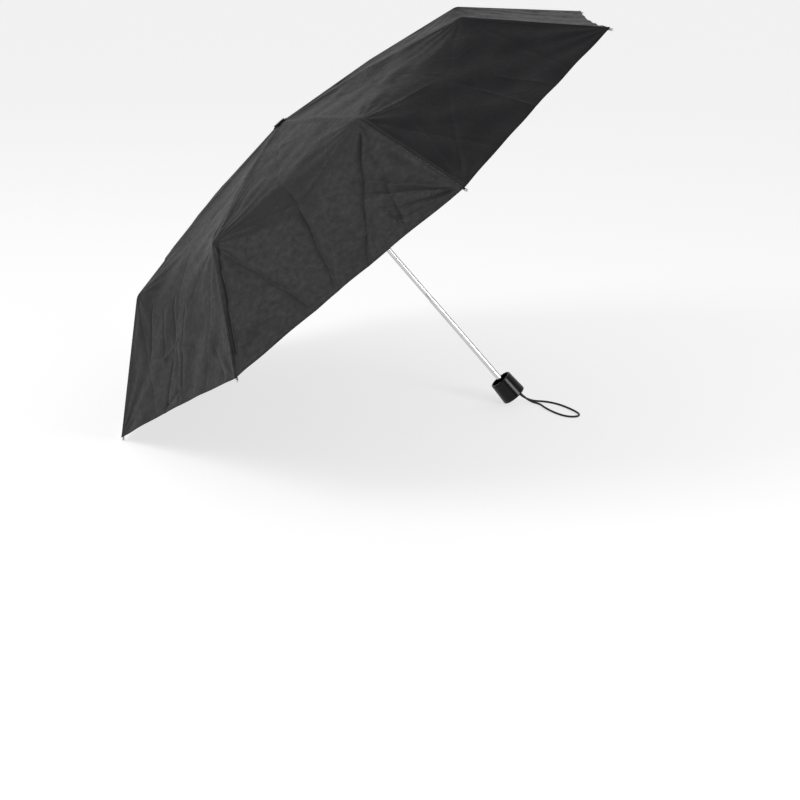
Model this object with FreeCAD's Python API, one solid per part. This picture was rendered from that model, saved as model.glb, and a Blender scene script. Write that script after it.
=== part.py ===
import FreeCAD, Part
import math
import os

from FreeCAD import Placement, Rotation, Vector

# A three-fold pocket umbrella, open, with eight ribs, a telescopic shaft and a cup handle.
# All sizes are millimetres and degrees. It is drawn in the shaft frame: Z runs along the shaft
# from the handle to the crown, Z = 0 is the plane of the crown's rib pivots, and X is the side
# that faces the ground. place_on_floor() then lays it on its two lowest rib tips and the
# handle's edge, the way an open umbrella is put down to dry.

# Ribs: each is an inner, a middle and an outer rib. Slopes are above the horizontal, open.
RIB_COUNT = 8
RIB_STEP = 360.0 / RIB_COUNT
INNER_LENGTH = 160.0
MIDDLE_LENGTH = 160.0
OUTER_LENGTH = 203.0
INNER_SLOPE = -6.9
MIDDLE_SLOPE = -9.8
OUTER_SLOPE = -40.4
INNER_CLOSED_SLOPE = -86.0
MIDDLE_CLOSED_SLOPE = 94.0
OUTER_CLOSED_SLOPE = -86.5

# Channel section of the inner and middle ribs, and the lugs that carry their joints.
CHANNEL_WIDTH = 3.0
CHANNEL_HALF_HEIGHT = 1.3
SHEET_WALL = 0.4
JOINT_OFFSET = 2.9
CHANNEL_INSET = 4.0
NECK_LENGTH = 7.0
TONGUE_WIDTH = 1.4
TONGUE_LENGTH = 8.0
TONGUE_END = 0.8
FORK_GAP = 2.0
FORK_END = 1.2
EYE_RADIUS = 1.5
RIVET_RADIUS = 0.7
RIVET_HEAD_RADIUS = 1.1
RIVET_HALF_LENGTH = 1.95
RIVET_HEAD_START = 1.6
PIVOT_PLAY = 0.06
# How far a cutting shape runs past the surface that it cuts.
CUT_OVERRUN = 3.0

# Heights above each rib's line that its joint pieces start and end at.
KNEE_TONGUE = (-0.9, 1.9)
KNEE_FORK = (0.9, 4.2)
SHOULDER_TONGUE = (-1.9, 1.1)
SHOULDER_FORK = (-3.1, 1.1)
SHOULDER_FORK_LENGTH = 8.0
SHOULDER_GAP_LENGTH = 3.6

# Outer rib: a round wire with a small metal tip.
OUTER_WIRE_RADIUS = 1.1
OUTER_WIRE_START = 5.0
OUTER_RAISE = 2.5
LINK_TAB_REACH = (0.4, 2.8)
LINK_TAB_HEIGHT = (-5.9, -2.0)
LINK_TAB_WIDTH = 0.5
LINK_TAB_SIDE = 1.25
TIP_LENGTH = 11.0
TIP_RADIUS = 1.6
TIP_BALL_RADIUS = 2.0

# Link wire beside each middle rib.
LINK_SIDE = 3.5
LINK_WIRE_RADIUS = 0.6
LINK_EYE_RADIUS = 1.1
LINK_EYE_HALF_WIDTH = 0.7
LINK_PIN_RADIUS = 0.5
LINK_PIN_END = 0.8

# Stretchers, from the runner to the inner ribs.
STRETCHER_LENGTH = 101.0
STRETCHER_REACH = 72.0
STRETCHER_DROP = 1.5
STRETCHER_WIDTH = 4.4
STRETCHER_HALF_HEIGHT = 1.1
STRETCHER_FORK_LENGTH = 24.0
STRETCHER_TONGUE_WIDTH = 2.0
STRETCHER_TONGUE_LENGTH = 9.0
STRETCHER_CHANNEL_START = 5.0
STRETCHER_EYE_RADIUS = 1.6
STRETCHER_EAR_RADIUS = 2.2
STRETCHER_HEAD_THICKNESS = 0.35
STRETCHER_OVERRUN = 6.0

# Crown hub and runner, with their ring wires.
PIVOT_CIRCLE = 9.0
FLANGE_RADIUS = 11.2
FLANGE_HALF_HEIGHT = 2.5
FLANGE_CHAMFER = 0.5
SLOT_FLOOR_RADIUS = 6.8
RING_WIRE_RADIUS = 0.5
RING_EYE_RADIUS = 1.8
RING_HOLE_RADIUS = 0.7
HUB_SLEEVE_RADIUS = 6.0
HUB_TOP = 2.8
HUB_BOTTOM = -9.0
RUNNER_BORE_RADIUS = 4.7
RUNNER_SLEEVE_RADIUS = 6.6
RUNNER_ABOVE_PIVOT = 6.0
RUNNER_BELOW_PIVOT = 22.0
COLLAR_STEP = 1.8
COLLAR_HEIGHT = 4.0
COLLAR_ROUNDING = 0.8

# Crown fittings above the ribs.
WASHER_RADIUS = 7.5
WASHER_TOP = 3.8
CAP_RADIUS = 9.8
CAP_BOTTOM = 5.8
CAP_TOP = 7.8
CAP_STEM_LENGTH = 12.0
CAP_ROUNDING = 0.8

# Shaft: three steel tubes that slide in each other.
TUBE_WALL = 0.35
UPPER_TUBE_RADIUS = 3.6
MIDDLE_TUBE_RADIUS = 4.05
LOWER_TUBE_RADIUS = 4.5
UPPER_TUBE_END = -215.0
MIDDLE_TUBE_MOUTH = -187.0
MIDDLE_TUBE_END = -380.0
LOWER_TUBE_MOUTH = -343.0
LOWER_TUBE_END = -536.5
TUBE_TRAVEL = 156.0
CAP_STEM_PLAY = 0.05
HUB_PLAY = 0.05

# Sprung catches that stand out of slots in the tubes.
CATCH_WIDTH = 2.0
CATCH_SLOT_PLAY = 0.2
CATCH_LENGTH = 13.0
CATCH_EDGE = 2.3
CATCH_DEPTH = 1.0
RUNNER_CATCH_RISE = 1.6
TUBE_CATCH_RISE = 1.3
CATCH_CLEARANCE = 0.4

# Canopy: eight flat-cut gores of thin cloth over the ribs.
CLOTH_LIFT = 4.9
CLOTH_LIFT_AT_SHOULDER = 4.2
CLOTH_LIFT_AT_TIP = 2.2
CLOTH_THICKNESS = 0.8
CLOTH_HOLE_RADIUS = 4.0
HEM_SCALLOP = 8.0

# Handle: a short cup with a solid core that grips the lower tube.
HANDLE_TOP = -508.0
HANDLE_LENGTH = 35.0
HANDLE_TOP_RADIUS = 17.6
HANDLE_END_RADIUS = 19.5
HANDLE_EDGE_RADIUS = 2.0
CUP_INNER_RADIUS = 15.4
CUP_RECESS = 9.0
CUP_FLOOR = 3.0
CUP_LIP_ROUNDING = 1.0
CORE_PLAY = 0.05

# Wrist cord: one length of cord, doubled, with both ends in the handle's end.
CORD_RADIUS = 1.4
CORD_HOLE_RADIUS = 3.6
CORD_HOLE_OFFSET = 8.0
STRAND_SIDE = 1.6
STRAND_RISE = 1.2
ARC_SHARE = 0.45
KNOT_RADIUS = 4.4
KNOT_LENGTH = 5.0
KNOT_OFFSET = 9.2
KNOT_PLAY = 0.2
# The cord's route on the floor, from one end to the other: how far right of the handle's cord
# hole, how far towards the back, and the height above the floor.
CORD_ROUTE = [
    (6.8, -2.2, 11.9),
    (20.0, -3.0, 2.8),
    (33.0, -10.0, 1.6),
    (39.0, -29.0, 1.6),
    (51.0, -52.0, 1.6),
    (64.0, -68.0, 1.6),
    (75.0, -73.0, 1.6),
    (85.5, -71.0, 1.6),
    (89.0, -60.5, 1.6),
    (84.0, -46.0, 1.6),
    (75.0, -30.0, 1.6),
    (61.0, -10.0, 1.6),
    (42.0, 3.0, 1.6),
    (22.0, 3.0, 2.2),
    (5.0, 2.2, 10.3),
]

HANDLE_END = HANDLE_TOP - HANDLE_LENGTH


def offset(start, slope, run, rise=0.0):
    """A point run along a sloping rib from start, and rise above its line."""
    turn = math.radians(slope)
    x = start.x + run * math.cos(turn) - rise * math.sin(turn)
    z = start.z + run * math.sin(turn) + rise * math.cos(turn)
    return Vector(x, 0, z)


def bar(start, slope, first, last, low, high, width, side=0.0):
    """A rectangular bar along a sloping line, from first to last and from low to high."""
    box = Part.makeBox(last - first, width, high - low, Vector(first, side - width / 2, low))
    box.Placement = Placement(start, Rotation(Vector(0, 1, 0), -slope))
    return box


def rod(start, slope, first, last, radius, side=0.0):
    """A round rod along a sloping line."""
    cylinder = Part.makeCylinder(radius, last - first, Vector(first, side, 0), Vector(1, 0, 0))
    cylinder.Placement = Placement(start, Rotation(Vector(0, 1, 0), -slope))
    return cylinder


def cross_pin(centre, radius, first, last):
    """A cylinder across the rib, along Y."""
    return Part.makeCylinder(radius, last - first, Vector(centre.x, first, centre.z), Vector(0, 1, 0))


def rivet(centre):
    """A riveted pin across a rib joint, with a head on each side."""
    pin = cross_pin(centre, RIVET_RADIUS, -RIVET_HALF_LENGTH, RIVET_HALF_LENGTH)
    near = cross_pin(centre, RIVET_HEAD_RADIUS, RIVET_HEAD_START, RIVET_HALF_LENGTH)
    far = cross_pin(centre, RIVET_HEAD_RADIUS, -RIVET_HALF_LENGTH, -RIVET_HEAD_START)
    return pin.fuse([near, far])


def channel(start, slope, first, last):
    """A U channel of thin sheet along a rib, open at the bottom."""
    half = CHANNEL_HALF_HEIGHT
    outside = bar(start, slope, first, last, -half, half, CHANNEL_WIDTH)
    inside = bar(start, slope, first - CUT_OVERRUN, last + CUT_OVERRUN, -half - CUT_OVERRUN,
                 half - SHEET_WALL, CHANNEL_WIDTH - 2 * SHEET_WALL)
    return outside.cut(inside)


def rims(cylinder):
    """The two round edges of a cylinder, without the straight seam between them."""
    return [edge for edge in cylinder.Edges if len(edge.Vertexes) == 1]


def clean(shape):
    """The shape with the seams between its fused faces removed."""
    return shape.removeSplitter()


# Pivot points of one rib, in the plane of the rib: X outwards and Z up.
CROWN_PIVOT = Vector(PIVOT_CIRCLE, 0, 0)
KNEE = offset(CROWN_PIVOT, INNER_SLOPE, INNER_LENGTH, JOINT_OFFSET)
MIDDLE_START = offset(KNEE, MIDDLE_SLOPE, 0, -JOINT_OFFSET)
SHOULDER = offset(MIDDLE_START, MIDDLE_SLOPE, MIDDLE_LENGTH, -JOINT_OFFSET)
OUTER_START = offset(SHOULDER, OUTER_SLOPE, 0, OUTER_RAISE)
TIP = offset(OUTER_START, OUTER_SLOPE, OUTER_LENGTH)
LINK_PIVOT = offset(KNEE, INNER_SLOPE, 0, -JOINT_OFFSET)
LINK_LENGTH = SHOULDER.sub(KNEE).Length
LINK_SLOPE = math.degrees(math.atan2(SHOULDER.z - KNEE.z, SHOULDER.x - KNEE.x))


def runner_height(inner_slope):
    """The height of the runner's pivots at a given slope of the inner ribs."""
    joint = offset(CROWN_PIVOT, inner_slope, STRETCHER_REACH, -STRETCHER_DROP)
    across = joint.x - PIVOT_CIRCLE
    return joint.z - math.sqrt(STRETCHER_LENGTH ** 2 - across ** 2)


def stretcher_slope(inner_slope):
    """The slope of the stretchers at a given slope of the inner ribs."""
    joint = offset(CROWN_PIVOT, inner_slope, STRETCHER_REACH, -STRETCHER_DROP)
    return math.degrees(math.atan2(joint.z - runner_height(inner_slope), joint.x - PIVOT_CIRCLE))


RUNNER_OPEN = runner_height(INNER_SLOPE)
RUNNER_TRAVEL = RUNNER_OPEN - runner_height(INNER_CLOSED_SLOPE)
STRETCHER_OPEN_SLOPE = stretcher_slope(INNER_SLOPE)
STRETCHER_CLOSED_SLOPE = stretcher_slope(INNER_CLOSED_SLOPE)
RUNNER_PIVOT = Vector(PIVOT_CIRCLE, 0, RUNNER_OPEN)


def inner_rib():
    """The rib between the crown and the knee, with the knee's tongue, its rivet and the link's pin."""
    half = CHANNEL_HALF_HEIGHT
    end = INNER_LENGTH + TONGUE_END
    rib = channel(CROWN_PIVOT, INNER_SLOPE, CHANNEL_INSET, INNER_LENGTH - CHANNEL_INSET)
    neck = bar(CROWN_PIVOT, INNER_SLOPE, 0, NECK_LENGTH, -half, half, CHANNEL_WIDTH)
    eye = cross_pin(CROWN_PIVOT, RING_EYE_RADIUS, -CHANNEL_WIDTH / 2, CHANNEL_WIDTH / 2)
    tongue = bar(CROWN_PIVOT, INNER_SLOPE, INNER_LENGTH - TONGUE_LENGTH, end, *KNEE_TONGUE, TONGUE_WIDTH)
    knee_eye = cross_pin(KNEE, EYE_RADIUS, -TONGUE_WIDTH / 2, TONGUE_WIDTH / 2)
    link_pin = cross_pin(LINK_PIVOT, LINK_PIN_RADIUS, 0, LINK_SIDE + LINK_PIN_END)
    rib = rib.fuse([neck, eye, tongue, knee_eye, rivet(KNEE), link_pin])
    rib = rib.cut(cross_pin(CROWN_PIVOT, RING_HOLE_RADIUS, -CHANNEL_WIDTH, CHANNEL_WIDTH))
    return clean(rib)


def middle_rib():
    """The rib between the knee and the shoulder, forked at the knee and tongued at the shoulder."""
    start, slope = MIDDLE_START, MIDDLE_SLOPE
    end = MIDDLE_LENGTH + TONGUE_END
    rib = channel(start, slope, CHANNEL_INSET, MIDDLE_LENGTH - CHANNEL_INSET)
    fork = bar(start, slope, -FORK_END, NECK_LENGTH, *KNEE_FORK, CHANNEL_WIDTH)
    gap = bar(start, slope, -CUT_OVERRUN, TONGUE_LENGTH, -CUT_OVERRUN, 2 * CUT_OVERRUN, FORK_GAP)
    fork = fork.cut(gap)
    tongue = bar(start, slope, MIDDLE_LENGTH - TONGUE_LENGTH, end, *SHOULDER_TONGUE, TONGUE_WIDTH)
    shoulder_eye = cross_pin(SHOULDER, EYE_RADIUS, -TONGUE_WIDTH / 2, TONGUE_WIDTH / 2)
    rib = rib.fuse([fork, tongue, shoulder_eye, rivet(SHOULDER)])
    hole = cross_pin(KNEE, RIVET_RADIUS + PIVOT_PLAY, -CHANNEL_WIDTH, CHANNEL_WIDTH)
    return clean(rib.cut(hole))


def outer_rib():
    """The wire between the shoulder and the hem, with its fork, its link tab and its tip."""
    start, slope = OUTER_START, OUTER_SLOPE
    wire = rod(start, slope, OUTER_WIRE_START, OUTER_LENGTH - TIP_RADIUS, OUTER_WIRE_RADIUS)
    fork = bar(start, slope, -FORK_END, SHOULDER_FORK_LENGTH, *SHOULDER_FORK, CHANNEL_WIDTH)
    gap = bar(start, slope, -CUT_OVERRUN, SHOULDER_GAP_LENGTH, -2 * CUT_OVERRUN, CUT_OVERRUN, FORK_GAP)
    tab = bar(start, slope, *LINK_TAB_REACH, *LINK_TAB_HEIGHT, LINK_TAB_WIDTH, LINK_TAB_SIDE)
    hole = cross_pin(SHOULDER, RIVET_RADIUS + PIVOT_PLAY, -CHANNEL_WIDTH, CHANNEL_WIDTH)
    tip = rod(start, slope, OUTER_LENGTH - TIP_LENGTH, OUTER_LENGTH, TIP_RADIUS)
    ball = Part.makeSphere(TIP_BALL_RADIUS, TIP)
    fork = fork.cut(gap).fuse(tab).cut(hole)
    return clean(fork.fuse([wire, tip, ball]))


def link_wire():
    """The thin wire beside the middle rib that pulls the outer rib round as the umbrella folds."""
    wire = rod(LINK_PIVOT, LINK_SLOPE, 0, LINK_LENGTH, LINK_WIRE_RADIUS, LINK_SIDE)
    first, last = LINK_SIDE - LINK_EYE_HALF_WIDTH, LINK_SIDE + LINK_EYE_HALF_WIDTH
    far_end = offset(LINK_PIVOT, LINK_SLOPE, LINK_LENGTH)
    eye = cross_pin(LINK_PIVOT, LINK_EYE_RADIUS, first, last)
    far_eye = cross_pin(far_end, LINK_EYE_RADIUS, first, last)
    hole = cross_pin(LINK_PIVOT, LINK_PIN_RADIUS + PIVOT_PLAY, first - CUT_OVERRUN, last + CUT_OVERRUN)
    return clean(wire.fuse([eye, far_eye]).cut(hole))


def stretcher():
    """The strut from the runner to the inner rib: a channel whose sides straddle the rib."""
    half = STRETCHER_HALF_HEIGHT
    inner = STRETCHER_WIDTH - 2 * SHEET_WALL
    slope = STRETCHER_OPEN_SLOPE
    sides = bar(RUNNER_PIVOT, slope, STRETCHER_CHANNEL_START, STRETCHER_LENGTH, -half, half,
                STRETCHER_WIDTH)
    tongue = bar(RUNNER_PIVOT, slope, 0, STRETCHER_TONGUE_LENGTH, -half, half, STRETCHER_TONGUE_WIDTH)
    eye = cross_pin(RUNNER_PIVOT, STRETCHER_EYE_RADIUS, -STRETCHER_TONGUE_WIDTH / 2,
                    STRETCHER_TONGUE_WIDTH / 2)
    end = offset(RUNNER_PIVOT, slope, STRETCHER_LENGTH)
    ears = cross_pin(end, STRETCHER_EAR_RADIUS, -STRETCHER_WIDTH / 2, STRETCHER_WIDTH / 2)
    head_end = STRETCHER_WIDTH / 2 + STRETCHER_HEAD_THICKNESS
    heads = cross_pin(end, RIVET_HEAD_RADIUS, -head_end, head_end)
    past_end = STRETCHER_LENGTH + STRETCHER_OVERRUN
    trough = bar(RUNNER_PIVOT, slope, STRETCHER_TONGUE_LENGTH, past_end, SHEET_WALL - half,
                 half + CUT_OVERRUN, inner)
    open_end = bar(RUNNER_PIVOT, slope, STRETCHER_LENGTH - STRETCHER_FORK_LENGTH, past_end,
                   -half - CUT_OVERRUN, half + CUT_OVERRUN, inner)
    strut = sides.fuse([tongue, eye, ears, heads]).cut(trough).cut(open_end)
    hole = cross_pin(RUNNER_PIVOT, RING_HOLE_RADIUS, -STRETCHER_WIDTH, STRETCHER_WIDTH)
    return clean(strut.cut(hole))


def tube(radius, low, high):
    """A straight thin-walled tube on the shaft's axis."""
    outside = Part.makeCylinder(radius, high - low, Vector(0, 0, low))
    inside = Part.makeCylinder(radius - TUBE_WALL, high - low, Vector(0, 0, low))
    return outside.cut(inside)


def catch_slot(low, high):
    """The window in a tube that a catch moves through."""
    width = CATCH_WIDTH + 2 * CATCH_SLOT_PLAY
    play = CATCH_SLOT_PLAY
    depth = 2 * UPPER_TUBE_RADIUS
    return Part.makeBox(width, depth, high - low + 2 * play, Vector(-width / 2, TUBE_WALL, low - play))


def catch(tube_radius, rise, square_end, tapered_end):
    """A sprung wedge: proud of the tube at its square end and flush at its tapered end."""
    step = math.copysign(CATCH_EDGE, tapered_end - square_end)
    root = tube_radius - CATCH_DEPTH
    outline = [
        Vector(-CATCH_WIDTH / 2, root, square_end),
        Vector(-CATCH_WIDTH / 2, tube_radius + rise, square_end),
        Vector(-CATCH_WIDTH / 2, tube_radius + rise, square_end + step),
        Vector(-CATCH_WIDTH / 2, tube_radius, tapered_end),
        Vector(-CATCH_WIDTH / 2, root, tapered_end),
    ]
    face = Part.Face(Part.makePolygon(outline + outline[:1]))
    return face.extrude(Vector(CATCH_WIDTH, 0, 0))


RUNNER_CATCH_TOP = RUNNER_OPEN - RUNNER_BELOW_PIVOT - CATCH_CLEARANCE
UPPER_CATCH_FOOT = MIDDLE_TUBE_MOUTH + CATCH_CLEARANCE
MIDDLE_CATCH_FOOT = LOWER_TUBE_MOUTH + CATCH_CLEARANCE


def upper_tube():
    """The thinnest tube, fixed in the crown, with windows for the runner's and its own catch."""
    shape = tube(UPPER_TUBE_RADIUS, UPPER_TUBE_END, HUB_TOP)
    shape = shape.cut(catch_slot(RUNNER_CATCH_TOP - CATCH_LENGTH, RUNNER_CATCH_TOP))
    return shape.cut(catch_slot(UPPER_CATCH_FOOT, UPPER_CATCH_FOOT + CATCH_LENGTH))


def middle_tube():
    """The middle tube, with a window for its catch."""
    shape = tube(MIDDLE_TUBE_RADIUS, MIDDLE_TUBE_END, MIDDLE_TUBE_MOUTH)
    return shape.cut(catch_slot(MIDDLE_CATCH_FOOT, MIDDLE_CATCH_FOOT + CATCH_LENGTH))


def ring_wire(height, radius):
    """The wire ring that the ribs or stretchers turn on."""
    return Part.makeTorus(PIVOT_CIRCLE, radius, Vector(0, 0, height))


def notched_flange(height, slot_width, slot_floor):
    """A flange round a pivot circle, with a slot for each rib and a groove for the ring wire."""
    low = height - FLANGE_HALF_HEIGHT
    flange = Part.makeCylinder(FLANGE_RADIUS, 2 * FLANGE_HALF_HEIGHT, Vector(0, 0, low))
    flange = flange.makeChamfer(FLANGE_CHAMFER, flange.Edges)
    slot_height = 4 * FLANGE_HALF_HEIGHT
    slot_low = height - slot_height / 2
    slots = []
    for number in range(RIB_COUNT):
        slot = Part.makeBox(FLANGE_RADIUS, slot_width, slot_height, Vector(slot_floor, -slot_width / 2, slot_low))
        slots.append(slot.rotated(Vector(0, 0, 0), Vector(0, 0, 1), rib_angle(number)))
    return flange.cut(slots).cut(ring_wire(height, RING_WIRE_RADIUS + PIVOT_PLAY))


def rib_angle(number):
    """The angle of a rib round the shaft, from the side that faces the floor."""
    return RIB_STEP * (number + 0.5)


def crown_hub():
    """The notched hub at the top of the shaft."""
    sleeve = Part.makeCylinder(HUB_SLEEVE_RADIUS, HUB_TOP - HUB_BOTTOM, Vector(0, 0, HUB_BOTTOM))
    length = HUB_TOP - HUB_BOTTOM + 2 * CUT_OVERRUN
    bore = Part.makeCylinder(UPPER_TUBE_RADIUS + HUB_PLAY, length, Vector(0, 0, HUB_BOTTOM - CUT_OVERRUN))
    flange = notched_flange(0, CHANNEL_WIDTH + 0.4, SLOT_FLOOR_RADIUS)
    return clean(flange.fuse(sleeve).cut(bore))


def runner():
    """The sliding sleeve, with its notched flange at the top and a grip collar at the bottom."""
    low = RUNNER_OPEN - RUNNER_BELOW_PIVOT
    height = RUNNER_BELOW_PIVOT + RUNNER_ABOVE_PIVOT
    sleeve = Part.makeCylinder(RUNNER_SLEEVE_RADIUS, height, Vector(0, 0, low))
    collar = Part.makeCylinder(RUNNER_SLEEVE_RADIUS + COLLAR_STEP, COLLAR_HEIGHT, Vector(0, 0, low))
    collar = collar.makeFillet(COLLAR_ROUNDING, rims(collar))
    flange = notched_flange(RUNNER_OPEN, STRETCHER_TONGUE_WIDTH + 0.6, SLOT_FLOOR_RADIUS + 0.1)
    length = height + 2 * CUT_OVERRUN
    bore = Part.makeCylinder(RUNNER_BORE_RADIUS, length, Vector(0, 0, low - CUT_OVERRUN))
    return clean(flange.fuse([sleeve, collar]).cut(bore))


def canopy_washer():
    """The washer that the canopy is clamped on."""
    outside = Part.makeCylinder(WASHER_RADIUS, WASHER_TOP - HUB_TOP, Vector(0, 0, HUB_TOP))
    length = WASHER_TOP - HUB_TOP + 2 * CUT_OVERRUN
    inside = Part.makeCylinder(UPPER_TUBE_RADIUS, length, Vector(0, 0, HUB_TOP - CUT_OVERRUN))
    return outside.cut(inside)


def top_cap():
    """The flat cap over the crown, with a stem pressed into the upper tube."""
    disc = Part.makeCylinder(CAP_RADIUS, CAP_TOP - CAP_BOTTOM, Vector(0, 0, CAP_BOTTOM))
    disc = disc.makeFillet(CAP_ROUNDING, rims(disc))
    stem_radius = UPPER_TUBE_RADIUS - TUBE_WALL - CAP_STEM_PLAY
    stem_top = (CAP_BOTTOM + CAP_TOP) / 2
    stem = Part.makeCylinder(stem_radius, CAP_STEM_LENGTH, Vector(0, 0, stem_top - CAP_STEM_LENGTH))
    return clean(disc.fuse(stem))


def canopy():
    """The eight gores, each flat across and bent at the knees and shoulders of its ribs."""
    half = math.radians(RIB_STEP / 2)
    knee = offset(KNEE, INNER_SLOPE, 0, CLOTH_LIFT - JOINT_OFFSET)
    shoulder = offset(SHOULDER, MIDDLE_SLOPE, 0, JOINT_OFFSET + CLOTH_LIFT_AT_SHOULDER)
    hem = offset(TIP, OUTER_SLOPE, 0, CLOTH_LIFT_AT_TIP)
    line = [Vector(0, 0, CLOTH_LIFT), knee, shoulder, hem]
    flat = [Vector(point.x * math.cos(half), -TIP.x, point.z) for point in line]
    top = [point.add(Vector(0, 0, CLOTH_THICKNESS)) for point in reversed(flat)]
    profile = Part.makePolygon(flat + top + flat[:1])
    strip = Part.Face(profile).extrude(Vector(0, 2 * TIP.x, 0))
    reach = 2 * TIP.x
    corner = Vector(reach * math.cos(half), reach * math.sin(half), -reach)
    mirrored = Vector(corner.x, -corner.y, corner.z)
    centre = Vector(0, 0, -reach)
    wedge = Part.Face(Part.makePolygon([centre, mirrored, corner, centre])).extrude(Vector(0, 0, 2 * reach))
    chord = hem.x * math.sin(half)
    hem_radius = (chord ** 2 + HEM_SCALLOP ** 2) / (2 * HEM_SCALLOP)
    hem_centre = hem.x * math.cos(half) - HEM_SCALLOP + hem_radius
    hem_cut = Part.makeCylinder(hem_radius, 2 * reach, Vector(hem_centre, 0, -reach))
    crown_hole = Part.makeCylinder(CLOTH_HOLE_RADIUS, 2 * CLOTH_LIFT + CUT_OVERRUN)
    gore = strip.common(wedge).cut([hem_cut, crown_hole])
    gores = [gore.rotated(Vector(0, 0, 0), Vector(0, 0, 1), RIB_STEP * number) for number in range(RIB_COUNT)]
    return Part.makeCompound([solid for shape in gores for solid in shape.Solids])


def handle_cup():
    """The cup: slightly wider at its end, hollow at the top, with a rounded lower edge."""
    low, radius = HANDLE_END, HANDLE_END_RADIUS
    edge = HANDLE_EDGE_RADIUS
    corner = radius - edge * (1 - math.sqrt(0.5))
    corner_height = low + edge * (1 - math.sqrt(0.5))
    lip = HANDLE_TOP_RADIUS - CUP_LIP_ROUNDING
    lip_low = HANDLE_TOP - CUP_LIP_ROUNDING
    lip_middle = CUP_LIP_ROUNDING * math.sqrt(0.5)
    lines = [
        Part.LineSegment(Vector(0, 0, low), Vector(radius - edge, 0, low)),
        Part.Arc(Vector(radius - edge, 0, low), Vector(corner, 0, corner_height), Vector(radius, 0, low + edge)),
        Part.LineSegment(Vector(radius, 0, low + edge), Vector(HANDLE_TOP_RADIUS, 0, lip_low)),
        Part.Arc(Vector(HANDLE_TOP_RADIUS, 0, lip_low), Vector(lip + lip_middle, 0, lip_low + lip_middle),
                 Vector(lip, 0, HANDLE_TOP)),
        Part.LineSegment(Vector(lip, 0, HANDLE_TOP), Vector(CUP_INNER_RADIUS, 0, HANDLE_TOP)),
        Part.LineSegment(Vector(CUP_INNER_RADIUS, 0, HANDLE_TOP), Vector(CUP_INNER_RADIUS, 0, low + CUP_FLOOR)),
        Part.LineSegment(Vector(CUP_INNER_RADIUS, 0, low + CUP_FLOOR), Vector(0, 0, low + CUP_FLOOR)),
        Part.LineSegment(Vector(0, 0, low + CUP_FLOOR), Vector(0, 0, low)),
    ]
    outline = Part.Wire([line.toShape() for line in lines])
    cup = Part.Face(outline).revolve(Vector(0, 0, 0), Vector(0, 0, 1), 360)
    hole = Part.makeCylinder(CORD_HOLE_RADIUS, 3 * CUP_FLOOR, Vector(-CORD_HOLE_OFFSET, 0, low - CUP_FLOOR))
    return cup.cut(hole)


def handle_core():
    """The plug inside the cup that grips the lower tube and leaves a pocket for the cord's knot."""
    floor = HANDLE_END + CUP_FLOOR
    top = HANDLE_TOP - CUP_RECESS
    plug = Part.makeCylinder(CUP_INNER_RADIUS - CORE_PLAY, top - floor, Vector(0, 0, floor))
    depth = top - LOWER_TUBE_END + CUT_OVERRUN
    bore = Part.makeCylinder(LOWER_TUBE_RADIUS, depth, Vector(0, 0, LOWER_TUBE_END))
    pocket = Part.makeCylinder(KNOT_RADIUS + KNOT_PLAY, KNOT_LENGTH + KNOT_PLAY, Vector(-KNOT_OFFSET, 0, floor))
    return plug.cut([bore, pocket])


def strap_knot():
    """The knot that keeps the cord's two ends inside the handle."""
    floor = HANDLE_END + CUP_FLOOR
    return Part.makeCylinder(KNOT_RADIUS, KNOT_LENGTH, Vector(-KNOT_OFFSET, 0, floor))


# The tilt at which the two lowest rib tips and the handle's rounded edge all touch the floor.
TIP_X = TIP.x * math.cos(math.radians(RIB_STEP / 2))
EDGE_X = HANDLE_END_RADIUS - HANDLE_EDGE_RADIUS
EDGE_Z = HANDLE_END + HANDLE_EDGE_RADIUS
REACH = math.hypot(TIP_X - EDGE_X, TIP.z - EDGE_Z)
TILT = math.atan2(TIP_X - EDGE_X, TIP.z - EDGE_Z) + math.asin((TIP_BALL_RADIUS - HANDLE_EDGE_RADIUS) / REACH)
FLOOR_LIFT = HANDLE_EDGE_RADIUS + EDGE_X * math.cos(TILT) - EDGE_Z * math.sin(TILT)
# The canopy reaches from the lowest tips on the left to the highest tips on the right.
LEFT = -TIP_X * math.sin(TILT) - TIP.z * math.cos(TILT) - TIP_BALL_RADIUS
RIGHT = TIP_X * math.sin(TILT) - TIP.z * math.cos(TILT) + TIP_BALL_RADIUS
CENTRE_SHIFT = -(LEFT + RIGHT) / 2

FLOOR_PLACEMENT = Placement(
    Vector(CENTRE_SHIFT, 0, FLOOR_LIFT),
    Rotation(
        Vector(-math.sin(TILT), 0, -math.cos(TILT)),
        Vector(0, -1, 0),
        Vector(-math.cos(TILT), 0, math.sin(TILT)),
        "XYZ",
    ),
)


def place_on_floor(shape, turn=0.0):
    """Turn a shape round the shaft, then lay the umbrella on the floor."""
    turned = shape.copy()
    spin = Placement(Vector(0, 0, 0), Rotation(Vector(0, 0, 1), turn))
    turned.Placement = FLOOR_PLACEMENT.multiply(spin).multiply(turned.Placement)
    return turned


def cord_path(points):
    """Straight runs joined by tangent arcs, each as large as its two runs allow."""
    edges = []
    start = points[0]
    for before, corner, after in zip(points, points[1:], points[2:]):
        back, ahead = before.sub(corner), after.sub(corner)
        half_turn = (math.pi - back.getAngle(ahead)) / 2
        trim = ARC_SHARE * min(back.Length, ahead.Length)
        radius = trim / math.tan(half_turn)
        print("cord arc radius", round(radius, 1), "turn", round(math.degrees(2 * half_turn)))
        first = corner.add(back.normalize().multiply(trim))
        last = corner.add(ahead.normalize().multiply(trim))
        inward = back.add(ahead).normalize()
        middle = corner.add(inward.multiply(radius * (1 / math.cos(half_turn) - 1)))
        edges.append(Part.LineSegment(start, first).toShape())
        edges.append(Part.Arc(first, middle, last).toShape())
        start = last
    edges.append(Part.LineSegment(start, points[-1]).toShape())
    return Part.Wire(edges)


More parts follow.
